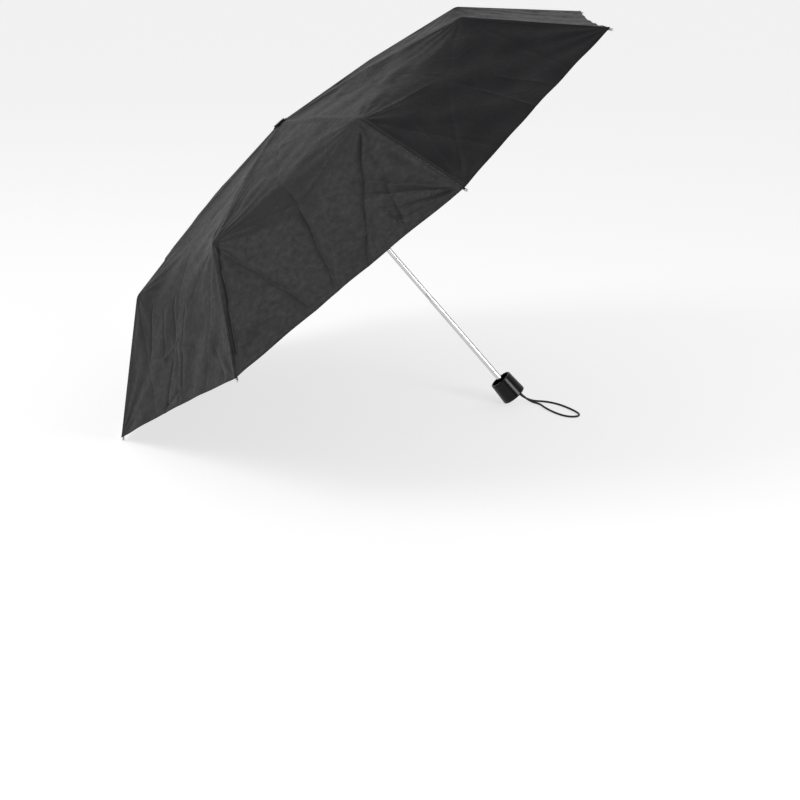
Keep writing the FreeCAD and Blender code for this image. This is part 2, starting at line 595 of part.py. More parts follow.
def cord_points():
    """The cord's route, from the knot, out through the handle's end, round the floor and back."""
    exit_point = FLOOR_PLACEMENT.multVec(Vector(-CORD_HOLE_OFFSET, 0, HANDLE_END))
    ends = []
    for side in (1, -1):
        x = -CORD_HOLE_OFFSET - side * STRAND_RISE
        ends.append(FLOOR_PLACEMENT.multVec(Vector(x, side * STRAND_SIDE, HANDLE_END + CUP_FLOOR)))
    route = [Vector(exit_point.x + right, back, height) for right, back, height in CORD_ROUTE]
    return ends[:1] + route + ends[1:]


def strap_cord():
    """The wrist cord, a plain round tube along its route, already on the floor."""
    points = cord_points()
    path = cord_path(points)
    section = Part.Wire(Part.makeCircle(CORD_RADIUS, points[0], points[1].sub(points[0])))
    cord = path.makePipeShell([section], True, True)
    share = cord.Volume / (math.pi * CORD_RADIUS ** 2 * path.Length)
    print("cord length", round(path.Length, 1), "volume against section times length", round(share, 4))
    return cord


def export(name, shape):
    """Write one sub-part as a STEP file."""
    shape.exportStep(os.path.join("parts", name + ".step"))


def main():
    """Build every sub-part, lay it on the floor and write it."""
    os.makedirs("parts", exist_ok=True)
    single = {
        "upper_tube": upper_tube(),
        "middle_tube": middle_tube(),
        "lower_tube": tube(LOWER_TUBE_RADIUS, LOWER_TUBE_END, LOWER_TUBE_MOUTH),
        "crown_hub": crown_hub(),
        "crown_ring_wire": ring_wire(0, RING_WIRE_RADIUS),
        "canopy_washer": canopy_washer(),
        "top_cap": top_cap(),
        "runner": runner(),
        "runner_ring_wire": ring_wire(RUNNER_OPEN, RING_WIRE_RADIUS),
        "runner_catch": catch(UPPER_TUBE_RADIUS, RUNNER_CATCH_RISE, RUNNER_CATCH_TOP,
                              RUNNER_CATCH_TOP - CATCH_LENGTH),
        "upper_tube_catch": catch(UPPER_TUBE_RADIUS, TUBE_CATCH_RISE, UPPER_CATCH_FOOT,
                                  UPPER_CATCH_FOOT + CATCH_LENGTH),
        "middle_tube_catch": catch(MIDDLE_TUBE_RADIUS, TUBE_CATCH_RISE, MIDDLE_CATCH_FOOT,
                                   MIDDLE_CATCH_FOOT + CATCH_LENGTH),
        "handle_cup": handle_cup(),
        "handle_core": handle_core(),
        "strap_knot": strap_knot(),
        "canopy": canopy(),
    }
    per_rib = {
        "inner_rib": inner_rib(),
        "middle_rib": middle_rib(),
        "outer_rib": outer_rib(),
        "link_wire": link_wire(),
        "stretcher": stretcher(),
    }
    for name, shape in single.items():
        export(name, place_on_floor(shape))
    for name, shape in per_rib.items():
        for number in range(RIB_COUNT):
            export(f"{name}_{number + 1}", place_on_floor(shape, rib_angle(number)))
    export("strap_cord", strap_cord())
    print("open diameter", round(2 * TIP.x, 1), "shaft", round(CAP_TOP - HANDLE_END, 1))
    print("closed length", round(CAP_TOP - HANDLE_END - 2 * TUBE_TRAVEL, 1))
    print("tilt", round(math.degrees(TILT), 3), "runner travel", round(RUNNER_TRAVEL, 2))


main()
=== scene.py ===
"""An open three-fold pocket umbrella, laid on a pale floor on two rib tips and its handle.

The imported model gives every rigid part. This script adds the cloth, the crown's rosette, the
sewing and the wrist cord, and gives every surface its finish. All lengths are metres.
"""

import logging
import math
from dataclasses import dataclass, field
from enum import Enum

import bmesh
import bpy
import numpy as np
from mathutils import Matrix, Vector

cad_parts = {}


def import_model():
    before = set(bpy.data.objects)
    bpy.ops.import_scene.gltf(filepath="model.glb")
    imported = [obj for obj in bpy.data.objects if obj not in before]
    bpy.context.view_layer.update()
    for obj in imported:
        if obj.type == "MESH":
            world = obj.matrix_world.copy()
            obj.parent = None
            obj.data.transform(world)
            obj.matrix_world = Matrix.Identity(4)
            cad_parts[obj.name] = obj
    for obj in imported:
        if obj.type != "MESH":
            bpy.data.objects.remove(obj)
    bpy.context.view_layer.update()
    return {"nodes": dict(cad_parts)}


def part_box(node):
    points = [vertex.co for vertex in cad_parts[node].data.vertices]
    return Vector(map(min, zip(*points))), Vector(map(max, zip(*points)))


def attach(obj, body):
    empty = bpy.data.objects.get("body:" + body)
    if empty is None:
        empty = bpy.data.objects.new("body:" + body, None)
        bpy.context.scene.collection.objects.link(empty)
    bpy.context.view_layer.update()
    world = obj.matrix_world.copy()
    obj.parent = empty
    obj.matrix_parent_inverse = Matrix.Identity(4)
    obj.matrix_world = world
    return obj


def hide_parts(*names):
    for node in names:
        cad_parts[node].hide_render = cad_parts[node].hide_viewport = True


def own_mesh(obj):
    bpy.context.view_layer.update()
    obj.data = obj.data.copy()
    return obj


LOG = logging.getLogger("umbrella")
MM = 0.001
RIB_COUNT = 8
RIB_STEP = 2 * math.pi / RIB_COUNT
HALF_STEP = RIB_STEP / 2
CLOTH_UV = "cloth"
Colour = tuple[float, float, float, float]


class Slot(Enum):
    """The names of the record's material slots for the cloth and the cord."""

    CLOTH = "canopy_cloth"
    CORD = "strap_cord"


class Side(Enum):
    """The half of a gore on one side of its rib, seen from the crown."""

    BEFORE = -1
    AFTER = 1


class Section(Enum):
    """The three lengths that the cloth folds into, one for each length of rib."""

    INNER = 0
    MIDDLE = 1
    OUTER = 2


@dataclass(frozen=True)
class ShaftFrame:
    """The umbrella's own axes: Z up the shaft to the crown, X towards the floor side."""

    origin: Vector
    up: Vector

    @classmethod
    def from_rings(cls) -> "ShaftFrame":
        """Finds the axes from the two ring wires that lie round the shaft.

        Returns:
            The shaft's axes.
        """
        crown = sum(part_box("crown_ring_wire"), Vector()) / 2
        runner = sum(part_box("runner_ring_wire"), Vector()) / 2
        return cls(crown, (crown - runner).normalized())

    def matrix(self) -> Matrix:
        """The transform from the shaft's axes to the row's frame.

        Returns:
            A turn and a move, with no scale.
        """
        floorward = Vector((-self.up.z, 0.0, self.up.x))
        sideways = self.up.cross(floorward)
        turn = Matrix((floorward, sideways, self.up)).transposed()
        return Matrix.Translation(self.origin) @ turn.to_4x4()

    def point(self, x: float, y: float, z: float) -> Vector:
        """A point given on the shaft's axes, in the row's frame."""
        return self.matrix() @ Vector((x, y, z))

    def direction(self, along: Vector) -> Vector:
        """A direction given on the shaft's axes, in the row's frame."""
        return self.matrix().to_3x3() @ along


class NodeTree:
    """Adds nodes to one shader tree and joins them."""

    def __init__(self, tree: bpy.types.NodeTree) -> None:
        """Keeps the tree that the nodes go into."""
        self.tree = tree

    def add(self, kind: str, inputs: dict | None = None, **settings: object) -> bpy.types.Node:
        """Adds one node, sets it and fills its inputs.

        Args:
            kind: The node's type.
            inputs: A value or another node's output for each named or numbered input.
            **settings: The node's own properties.

        Returns:
            The new node.
        """
        node = self.tree.nodes.new(kind)
        for name, value in settings.items():
            setattr(node, name, value)
        for name, value in (inputs or {}).items():
            socket = node.inputs[name]
            if isinstance(value, bpy.types.NodeSocket):
                self.tree.links.new(value, socket)
            else:
                socket.default_value = value
        return node

    def link(self, output: bpy.types.NodeSocket, entry: bpy.types.NodeSocket) -> None:
        """Joins an output to an input."""
        self.tree.links.new(output, entry)

    def noise(self, place: bpy.types.NodeSocket, scale: object, detail: float, roughness: float,
              distortion: float = 0.0, kind: str = "FBM") -> bpy.types.Node:
        """Adds a noise texture.

        Args:
            place: The coordinates' output.
            scale: The noise's scale, a number or an output.
            detail: How many layers it has.
            roughness: How strong the finer layers are.
            distortion: How far it is bent.
            kind: The noise's type.

        Returns:
            The texture's node.
        """
        filled = {"Vector": place, "Scale": scale, "Detail": detail, "Roughness": roughness,
                  "Distortion": distortion}
        return self.add("ShaderNodeTexNoise", filled, noise_type=kind)

    def bump(self, height: bpy.types.NodeSocket, strength: float, distance: float,
             below: bpy.types.NodeSocket | None = None) -> bpy.types.NodeSocket:
        """Adds a bump over another one.

        Args:
            height: The height's output.
            strength: The bump's strength.
            distance: Its depth in metres.
            below: The normal that it starts from.

        Returns:
            The bumped normal's output.
        """
        filled = {"Height": height, "Strength": strength, "Distance": distance}
        if below is not None:
            filled["Normal"] = below
        return self.add("ShaderNodeBump", filled).outputs[0]

    def math(self, operation: str, *values: object, clamp: bool = False) -> bpy.types.NodeSocket:
        """Adds a Math node.

        Args:
            operation: The operation's name.
            *values: Numbers or outputs, in order.
            clamp: Whether the result is kept from 0 to 1.

        Returns:
            The node's output.
        """
        filled = dict(enumerate(values))
        return self.add("ShaderNodeMath", filled, operation=operation, use_clamp=clamp).outputs[0]

    def mix(self, share: object, first: object, second: object) -> bpy.types.NodeSocket:
        """Mixes two colours.

        Args:
            share: How much of the second colour shows.
            first: The first colour.
            second: The second colour.

        Returns:
            The mixed colour's output.
        """
        filled = {0: share, 6: first, 7: second}
        return self.add("ShaderNodeMix", filled, data_type="RGBA").outputs[2]

    def ramp(self, value: object, low: float, high: float, first: float, last: float
             ) -> bpy.types.NodeSocket:
        """Maps a value from one range to another, and holds it at both ends.

        Args:
            value: The value's output.
            low: The start of its range.
            high: The end of its range.
            first: The result at the start.
            last: The result at the end.

        Returns:
            The mapped value's output.
        """
        filled = {0: value, 1: low, 2: high, 3: first, 4: last}
        return self.add("ShaderNodeMapRange", filled).outputs[0]


def new_group(name: str, inputs: dict[str, float | tuple], outputs: dict[str, str]
              ) -> tuple[bpy.types.NodeTree, NodeTree, dict, bpy.types.Node]:
    """Starts a shader node group with named inputs and outputs.

    Args:
        name: The group's name.
        inputs: Each input's default, a number or a vector.
        outputs: Each output's socket type.

    Returns:
        The group, its nodes, its inputs by name and its output node.
    """
    group = bpy.data.node_groups.new(name, "ShaderNodeTree")
    for label, value in inputs.items():
        kind = "NodeSocketFloat" if isinstance(value, float) else "NodeSocketVector"
        socket = group.interface.new_socket(label, in_out="INPUT", socket_type=kind)
        socket.default_value = value
    for label, kind in outputs.items():
        group.interface.new_socket(label, in_out="OUTPUT", socket_type=kind)
    nodes = NodeTree(group)
    entry = nodes.add("NodeGroupInput")
    leave = nodes.add("NodeGroupOutput")
    return group, nodes, {socket.name: socket for socket in entry.outputs}, leave


class SharedEffects:
    """The effects that several finishes use, each a node group built once."""

    def __init__(self) -> None:
        """Builds every group."""
        self.patina = self.build_patina()
        self.threads = self.build_threads()
        self.stitches = self.build_stitches()

    @staticmethod
    def build_patina() -> bpy.types.NodeTree:
        """Handling marks: broad dull patches and fine scuffs.

        Returns:
            A group with a Mask from 0 to 1 and a Height.
        """
        defaults = {"Vector": (0.0, 0.0, 0.0), "Patch Scale": 30.0, "Scuff Scale": 400.0}
        group, nodes, given, leave = new_group(
            "patina", defaults, {"Mask": "NodeSocketFloat", "Height": "NodeSocketFloat"})
        patch = nodes.noise(given["Vector"], given["Patch Scale"], 3.0, 0.6)
        scuff = nodes.noise(given["Vector"], given["Scuff Scale"], 4.0, 0.7, 0.4)
        broad = nodes.ramp(patch.outputs["Fac"], 0.35, 0.68, 0.0, 1.0)
        mask = nodes.math("MULTIPLY", broad, nodes.ramp(scuff.outputs["Fac"], 0.3, 0.7, 0.35, 1.0))
        nodes.link(mask, leave.inputs["Mask"])
        nodes.link(scuff.outputs["Fac"], leave.inputs["Height"])
        return group

    @staticmethod
    def build_threads() -> bpy.types.NodeTree:
        """Plain weave: threads over and under each other at right angles.

        Returns:
            A group with a Height from 0 to 1.
        """
        defaults = {"Vector": (0.0, 0.0, 0.0), "Pitch": 0.0006}
        group, nodes, given, leave = new_group("threads", defaults, {"Height": "NodeSocketFloat"})
        parts = nodes.add("ShaderNodeSeparateXYZ", {0: given["Vector"]})
        turns = []
        for axis in ("X", "Y"):
            share = nodes.math("DIVIDE", parts.outputs[axis], given["Pitch"])
            turns.append(nodes.math("SINE", nodes.math("MULTIPLY", share, math.pi)))
        over = nodes.math("MULTIPLY", turns[0], turns[1])
        height = nodes.math("MULTIPLY_ADD", over, 0.5, 0.5)
        nodes.link(height, leave.inputs["Height"])
        return group

    @staticmethod
    def build_stitches() -> bpy.types.NodeTree:
        """One row of stitches that runs beside an edge.

        Returns:
            A group with a Mask that is 1 on the thread.
        """
        defaults = {"Along": 0.0, "Across": 0.0, "Line": 0.002, "Pitch": 0.003, "Width": 0.0004}
        group, nodes, given, leave = new_group("stitches", defaults, {"Mask": "NodeSocketFloat"})
        away = nodes.math("ABSOLUTE", nodes.math("SUBTRACT", given["Across"], given["Line"]))
        beside = nodes.math("SUBTRACT", 1.0, nodes.math("DIVIDE", away, given["Width"]), clamp=True)
        beat = nodes.math("FRACT", nodes.math("DIVIDE", given["Along"], given["Pitch"]))
        dash = nodes.ramp(nodes.math("ABSOLUTE", nodes.math("SUBTRACT", beat, 0.5)), 0.3, 0.38, 1.0, 0.0)
        nodes.link(nodes.math("MULTIPLY", beside, dash), leave.inputs["Mask"])
        return group


def new_material(name: str) -> tuple[bpy.types.Material, NodeTree, bpy.types.Node]:
    """Starts a material.

    Args:
        name: The material's name.

    Returns:
        The material, its nodes and its Principled node.
    """
    material = bpy.data.materials.new(name)
    material.use_nodes = True
    nodes = NodeTree(material.node_tree)
    return material, nodes, material.node_tree.nodes["Principled BSDF"]


@dataclass(frozen=True)
class RigidFinish:
    """A hard surface with a fine grain and rubbed patches: a moulded plastic, or a metal."""

    name: str
    clean: Colour
    rubbed: Colour
    roughness: tuple[float, float]
    metallic: float = 0.0
    specular: float = 0.4
    patch: float = 70.0
    grain: float = 1500.0
    strength: float = 0.15
    depth: float = 0.00002

    def material(self, effects: SharedEffects) -> bpy.types.Material:
        """Builds the material.

        Args:
            effects: The shared node groups.

        Returns:
            The finished material.
        """
        material, nodes, shader = new_material(self.name)
        place = nodes.add("ShaderNodeTexCoord").outputs["Object"]
        patina = nodes.add("ShaderNodeGroup", {"Vector": place, "Patch Scale": self.patch,
                                               "Scuff Scale": self.grain}, node_tree=effects.patina)
        mask = patina.outputs["Mask"]
        shader.inputs["Metallic"].default_value = self.metallic
        shader.inputs["Specular IOR Level"].default_value = self.specular
        nodes.link(nodes.mix(mask, self.clean, self.rubbed), shader.inputs["Base Color"])
        nodes.link(nodes.ramp(mask, 0.0, 1.0, *self.roughness), shader.inputs["Roughness"])
        nodes.link(nodes.bump(patina.outputs["Height"], self.strength, self.depth), shader.inputs["Normal"])
        return material


@dataclass(frozen=True)
class ClothFinish:
    """Black satin-faced umbrella cloth: weave, crumple, seams, hem and storage creases."""

    name: str = "umbrella_cloth"
    face: Colour = (0.0062, 0.0058, 0.0074, 1.0)
    worn: Colour = (0.0105, 0.0098, 0.0118, 1.0)
    hem: Colour = (0.0035, 0.0035, 0.0038, 1.0)
    thread: Colour = (0.012, 0.012, 0.013, 1.0)
    roughness: tuple[float, float] = (0.45, 0.58)
    hem_width: float = 3.4 * MM
    hem_edge: float = 0.5 * MM
    weave_pitch: float = 0.55 * MM
    specular: float = 0.21

    def material(self, effects: SharedEffects) -> bpy.types.Material:
        """Builds the material on the cloth's own map: across from the rib, and up from the hem.

        Args:
            effects: The shared node groups.

        Returns:
            The finished material.
        """
        material, nodes, shader = new_material(self.name)
        chart = nodes.add("ShaderNodeUVMap", uv_map=CLOTH_UV).outputs[0]
        place = nodes.add("ShaderNodeTexCoord").outputs["Object"]
        parts = nodes.add("ShaderNodeSeparateXYZ", {0: chart})
        across, rise = parts.outputs["X"], parts.outputs["Y"]
        seam = nodes.add("ShaderNodeGroup", {"Along": rise, "Across": across, "Line": 2.0 * MM},
                         node_tree=effects.stitches)
        row = nodes.add("ShaderNodeGroup", {"Along": across, "Across": rise, "Line": 2.6 * MM},
                        node_tree=effects.stitches)
        stitch = nodes.math("MAXIMUM", seam.outputs[0], row.outputs[0])
        weave = nodes.add("ShaderNodeGroup", {"Vector": chart, "Pitch": self.weave_pitch},
                          node_tree=effects.threads)
        tone = nodes.noise(place, 9.0, 4.0, 0.6)
        crumple = nodes.noise(place, 16.0, 5.0, 0.62, 0.9, "RIDGED_MULTIFRACTAL")
        slub = nodes.noise(place, 130.0, 3.0, 0.6)
        wear = nodes.ramp(tone.outputs["Fac"], 0.3, 0.7, 0.0, 1.0)
        colour = nodes.mix(wear, self.face, self.worn)
        in_hem = nodes.ramp(rise, self.hem_width, self.hem_width + self.hem_edge, 1.0, 0.0)
        colour = nodes.mix(in_hem, colour, self.hem)
        colour = nodes.mix(stitch, colour, self.thread)
        rough = nodes.ramp(slub.outputs["Fac"], 0.3, 0.7, *self.roughness)
        normal = nodes.bump(crumple.outputs["Fac"], 0.10, 0.9 * MM)
        shift = nodes.add("ShaderNodeVectorMath", {0: slub.outputs["Color"], 1: (0.012,) * 3},
                          operation="MULTIPLY")
        bent = nodes.add("ShaderNodeVectorMath", {0: place, 1: shift.outputs[0]}, operation="ADD")
        cells = nodes.add("ShaderNodeTexVoronoi", {"Vector": bent.outputs[0], "Scale": 21.0},
                          feature="DISTANCE_TO_EDGE")
        where = nodes.ramp(tone.outputs["Fac"], 0.42, 0.62, 0.0, 1.0)
        lines = nodes.math("MULTIPLY", nodes.ramp(cells.outputs["Distance"], 0.0, 0.045, 1.0, 0.0), where)
        normal = nodes.bump(lines, 0.35, 0.8 * MM, normal)
        normal = nodes.bump(slub.outputs["Fac"], 0.3, 0.25 * MM, normal)
        normal = nodes.bump(weave.outputs["Height"], 0.2, 0.06 * MM, normal)
        normal = nodes.bump(stitch, 0.6, 0.2 * MM, normal)
        shader.inputs["Specular IOR Level"].default_value = self.specular
        nodes.link(colour, shader.inputs["Base Color"])
        nodes.link(rough, shader.inputs["Roughness"])
        nodes.link(normal, shader.inputs["Normal"])
        return material


@dataclass(frozen=True)
class CordFinish:
    """Black braided cord: strands that cross on the slant all the way along it, with painted shade in the
    gaps between them.
    """

    name: str = "braided_cord"
    strand: Colour = (0.010, 0.010, 0.011, 1.0)
    # Painted shade: the colour of the hollows between the strands, darker than the strands themselves.
    gap_shade: Colour = (0.003, 0.003, 0.003, 1.0)
    turns_along: float = 130.0
    turns_round: float = 3.0

    def material(self) -> bpy.types.Material:
        """Builds the material on the cord's own map, which runs along it and round it.

        Returns:
            The finished material.
        """
        material, nodes, shader = new_material(self.name)
        parts = nodes.add("ShaderNodeSeparateXYZ", {0: nodes.add("ShaderNodeTexCoord").outputs["UV"]})
        along = nodes.math("MULTIPLY", parts.outputs["X"], self.turns_along)
        waves = []
        for lean in (self.turns_round, -self.turns_round):
            slant = nodes.math("MULTIPLY_ADD", parts.outputs["Y"], lean, along)
            waves.append(nodes.math("ABSOLUTE", nodes.math("SINE", nodes.math("MULTIPLY", slant, math.pi))))
        braid = nodes.math("MULTIPLY", *waves)
        shader.inputs["Roughness"].default_value = 0.7
        shader.inputs["Sheen Weight"].default_value = 0.15
        # The braid mask puts painted shade in the gaps between the strands.
        nodes.link(nodes.mix(braid, self.gap_shade, self.strand), shader.inputs["Base Color"])
        nodes.link(nodes.bump(braid, 0.8, 0.3 * MM), shader.inputs["Normal"])
        return material


def finished_object(name: str, mesh: bpy.types.Mesh, material: bpy.types.Material) -> bpy.types.Object:
    """Puts a mesh in the scene as a piece.

    Args:
        name: The piece's name.
        mesh: Its mesh, already in the row's frame.
        material: Its finish.

    Returns:
        The piece.
    """
    mesh.materials.append(material)
    piece = bpy.data.objects.new(name, mesh)
    bpy.context.scene.collection.objects.link(piece)
    return piece


@dataclass(frozen=True)
class Crease:
    """A fold line in one gore, from one point to another.

    A point is how far across the gore it is, from -1 to 1 between its ribs, and its station down
    the gore: 0 at the crown, 1 at the knees, 2 at the shoulders and 3 at the hem.
    """

    start: tuple[float, float]
    end: tuple[float, float]
    height: float = -0.9
    reach: float = 5.0


@dataclass(frozen=True)
class ClothShape:
    """The stretched cloth as one smooth surface on the shaft's axes."""

    crown: tuple[float, float] = (0.0, 5.6 * MM)
    knee: tuple[float, float] = (168.5 * MM, -13.7 * MM)
    shoulder: tuple[float, float] = (326.5 * MM, -41.3 * MM)
    tip: tuple[float, float] = (481.2 * MM, -175.2 * MM)
    rib_rounding: float = 5.0 * MM
    rib_ease: float = 8.0 * MM
    middle_rounding: float = 62.0 * MM
    sag: float = 6.0 * MM
    scallop: float = 5.5 * MM
    hem_band: float = 3.6 * MM
    seam_band: float = 2.6 * MM
    hem_height: float = 0.30 * MM
    seam_height: float = 0.25 * MM
    band_slope: float = 0.8 * MM
    swell_count: int = 7
    swell_lengths: tuple[float, float] = (28.0, 95.0)
    swell_steepness: float = 0.0038
    calm_reach: float = 90 * MM
    calm_edge: float = 0.12
    fan_start: float = 14 * MM
    fans: tuple[tuple[int, int, float], ...] = ((2, 13, 0.225 * MM), (3, 11, 0.2475 * MM))
    fan_reach: float = 55 * MM
    crease_gain: float = 1.6
    crease_wave: float = 0.9 * MM
    crease_wave_length: float = 11 * MM
    crease_fade: float = 0.16
    crease_tail: float = 0.15
    crease_core: float = 0.35 * MM
    difference: float = 0.25 * MM

    def stations(self) -> list[float]:
        """The distance down the rib from the crown to the knee, the shoulder and the tip."""
        corners = [self.crown, self.knee, self.shoulder, self.tip]
        lengths = [math.dist(a, b) for a, b in zip(corners, corners[1:])]
        return [0.0, lengths[0], lengths[0] + lengths[1], sum(lengths)]

    def hem_at(self, across: np.ndarray) -> np.ndarray:
        """The distance down the cloth where the hem is, scalloped between the ribs."""
        return self.stations()[3] - self.scallop * (1 - across ** 2)

    def profile(self, across: np.ndarray, down: np.ndarray) -> tuple[np.ndarray, np.ndarray]:
        """The cloth's line from crown to hem, with its corners rounded.

        Args:
            across: How far across the gore, from -1 to 1.
            down: The distance down the cloth.

        Returns:
            The distance from the shaft and the height of each point.
        """
        corners = np.array([self.crown, self.knee, self.shoulder, self.tip])
        stations = self.stations()
        out = np.interp(down, stations, corners[:, 0])
        up = np.interp(down, stations, corners[:, 1])
        past = down > stations[3]
        last = (corners[3] - corners[2]) / (stations[3] - stations[2])
        out = np.where(past, corners[3][0] + (down - stations[3]) * last[0], out)
        up = np.where(past, corners[3][1] + (down - stations[3]) * last[1], up)
        blend = np.clip(1 - across ** 2, 0, 1) ** 0.7
        reach = self.rib_rounding + (self.middle_rounding - self.rib_rounding) * blend
        for number in (1, 2):
            before = (corners[number] - corners[number - 1]) / (stations[number] - stations[number - 1])
            after = (corners[number + 1] - corners[number]) / (stations[number + 1] - stations[number])
            turn = np.clip((down - stations[number] + reach) / (2 * reach), 0, 1)
            inside = (turn > 0) & (turn < 1)
            ahead, back = turn ** 2 * reach, (1 - turn) ** 2 * reach
            out = np.where(inside, corners[number][0] + ahead * after[0] - back * before[0], out)
            up = np.where(inside, corners[number][1] + ahead * after[1] - back * before[1], up)
        return out, up

    def relief(self, gore: int, across: np.ndarray, down: np.ndarray, width: np.ndarray) -> np.ndarray:
        """How far the cloth stands out from its stretched surface.

        Args:
            gore: Which gore.
            across: How far across it, from -1 to 1.
            down: The distance down the cloth.
            width: Half the gore's width at each point.

        Returns:
            The height of each point.
        """
        stations = self.stations()
        side = across * width
        edge = np.clip(1 - across ** 2, 0, 1)
        taper = np.interp(down, [0.0, 60 * MM, stations[2], stations[3]], [0.0, 0.45, 1.0, 0.7])
        height = -self.sag * edge * taper
        height += self.soft_folds(gore, across, down, width)
        for crease in CREASES[gore]:
            height += self.fold_line(crease, across, down, side)
        from_seam = width - np.abs(side)
        height *= np.clip(from_seam / self.rib_ease, 0, 1) ** 1.5
        from_hem = self.hem_at(across) - down
        height += self.hem_height * self.step(self.hem_band - from_hem)
        return height + self.seam_height * self.step(self.seam_band - from_seam)

    def step(self, inside: np.ndarray) -> np.ndarray:
        """A smooth step up at the edge of a sewn band."""
        share = np.clip(inside / self.band_slope, 0, 1)
        return share * share * (3 - 2 * share)

    def soft_folds(self, gore: int, across: np.ndarray, down: np.ndarray, width: np.ndarray) -> np.ndarray:
        """The soft unevenness of the cloth, and the wrinkles that fan out from the rib joints.

        Args:
            gore: Which gore.
            across: How far across it, from -1 to 1.
            down: The distance down the cloth.
            width: Half the gore's width at each point.

        Returns:
            The height of each point.
        """
        draws = np.random.default_rng(40 + gore)
        side = across * width
        stations = self.stations()
        height = np.zeros_like(across)
        calm = np.clip(down / self.calm_reach, 0, 1)
        calm *= np.clip((1 - np.abs(across)) / self.calm_edge, 0, 1)
        for _ in range(self.swell_count):
            length = draws.uniform(*self.swell_lengths) * MM
            heading = draws.uniform(0, math.pi)
            phase = draws.uniform(0, 2 * math.pi)
            run = side * math.cos(heading) + down * math.sin(heading)
            height += self.swell_steepness * length * np.sin(2 * math.pi * run / length + phase) * calm
        for station, folds, size in self.fans:
            for end in (-1, 1):
                count = folds + draws.integers(-3, 4)
                phase = draws.uniform(0, 2 * math.pi)
                gap_side = (1 - end * across) * width
                gap_down = down - stations[station]
                away = np.hypot(gap_side, gap_down)
                angle = np.arctan2(gap_down, gap_side + 1e-6)
                swell = away / self.fan_start * np.exp(-away / self.fan_reach)
                height += size * swell * np.cos(count * angle + phase)
        return height

    def fold_line(self, crease: Crease, across: np.ndarray, down: np.ndarray, side: np.ndarray
                  ) -> np.ndarray:
        """One sharp storage fold that dies away at its ends and on each side.

        Args:
            crease: The fold.
            across: How far across the gore, from -1 to 1. Not used.
            down: The distance down the cloth.
            side: The distance sideways from the gore's middle.

        Returns:
            The height of each point.
        """
        stations = self.stations()
        ends = []
        for point in (crease.start, crease.end):
            depth = np.interp(point[1], range(4), stations)
            out, _ = self.profile(np.array([point[0]]), np.array([depth]))
            ends.append(np.array([point[0] * out[0] * math.sin(HALF_STEP), depth]))
        line = ends[1] - ends[0]
        length = np.linalg.norm(line)
        line = line / length
        along = (side - ends[0][0]) * line[0] + (down - ends[0][1]) * line[1]
        beside = (side - ends[0][0]) * line[1] - (down - ends[0][1]) * line[0]
        beside += self.crease_wave * np.sin(along / self.crease_wave_length + 3 * crease.start[0])
        from_end = np.minimum(along, length - along)
        fade = np.clip(from_end / (self.crease_fade * length) + self.crease_tail, 0, 1)
        sharp = np.exp(-np.hypot(beside, self.crease_core) / (crease.reach * MM))
        return self.crease_gain * crease.height * MM * fade * sharp

    def surface(self, gore: int, across: np.ndarray, down: np.ndarray) -> np.ndarray:
        """Points on the middle of the cloth, on the shaft's axes.

        Args:
            gore: Which gore; its middle is (gore + 1) steps round from the floor side.
            across: How far across it, from -1 to 1.
            down: The distance down the cloth.

        Returns:
            One row of three coordinates for each point.
        """
        out, up = self.profile(across, down)
        step = self.difference
        more_out, more_up = self.profile(across, down + step)
        less_out, less_up = self.profile(across, down - step)
        run, fall = (more_out - less_out) * math.cos(HALF_STEP), more_up - less_up
        norm = np.maximum(np.hypot(run, fall), 1e-12)
        width = out * math.sin(HALF_STEP)
        height = self.relief(gore, across, down, width)
        radial = out * math.cos(HALF_STEP) - height * fall / norm
        level = up + height * run / norm
        side = width * across
        turn = (gore + 1) * RIB_STEP
        x = radial * math.cos(turn) - side * math.sin(turn)
        y = radial * math.sin(turn) + side * math.cos(turn)
        return np.stack([x, y, level], axis=1)

    def normals(self, gore: int, across: np.ndarray, down: np.ndarray) -> np.ndarray:
        """The cloth's outward directions, on the shaft's axes.

        Args:
            gore: Which gore.
            across: How far across it, from -1 to 1.
            down: The distance down the cloth.

        Returns:
            One row of three numbers for each point.
        """
        step = self.difference
        out, _ = self.profile(across, down)
        share = step / np.maximum(out * math.sin(HALF_STEP), 1 * MM)
        sideways = self.surface(gore, across + share, down) - self.surface(gore, across - share, down)
        downward = self.surface(gore, across, down + step) - self.surface(gore, across, down - step)
        found = np.cross(downward, sideways)
        return found / np.maximum(np.linalg.norm(found, axis=1, keepdims=True), 1e-15)


def streaks(side: float, count: int, spread: float = 0.3, height: float = 0.45) -> list[Crease]:
    """Fine ridges that run beside a rib from its shoulder up towards the crown.

    Args:
        side: The rib's side of the gore, -1 or 1.
        count: How many ridges.
        spread: How far across the gore they spread at their upper ends.
        height: How far they stand out.

    Returns:
        The ridges.
    """
    return [
        Crease((side * 0.97, 1.97), (side * (0.9 - spread * number / count), 0.55 + 0.18 * number),
               height, 2.6)
        for number in range(count)
    ]


def storage_folds(middle: float, crossing: float, hems: tuple[float, float, float], depth: float
                  ) -> list[Crease]:
    """The folds that a gore keeps from being rolled up: down its middle, and from its shoulders.

    Args:
        middle: Where across the gore the middle fold comes down from the crown.
        crossing: The station where the folds from both shoulders meet the middle one.
        hems: Where across the hem the first, the middle and the last fold end.
        depth: The middle fold's height.

    Returns:
        The folds.
    """
    return [
        Crease((middle, 0.2), (middle * 0.8, 1.72), depth * 0.6, 4.0),
        Crease((middle * 0.8, 1.7), (0.0, crossing), depth * 0.8, 4.5),
        Crease((0.0, crossing), (hems[1], 3.02), depth, 5.0),
        Crease((-0.98, 2.03), (hems[0], 3.02), depth * 0.8, 4.5),
        Crease((0.98, 2.03), (hems[2], 3.02), depth * 0.8, 4.5),
        Crease((0.96, 1.98), (0.02, crossing), depth * 0.6, 4.0),
        Crease((-0.96, 1.98), (-0.02, crossing), -depth * 0.45, 4.0),
    ]


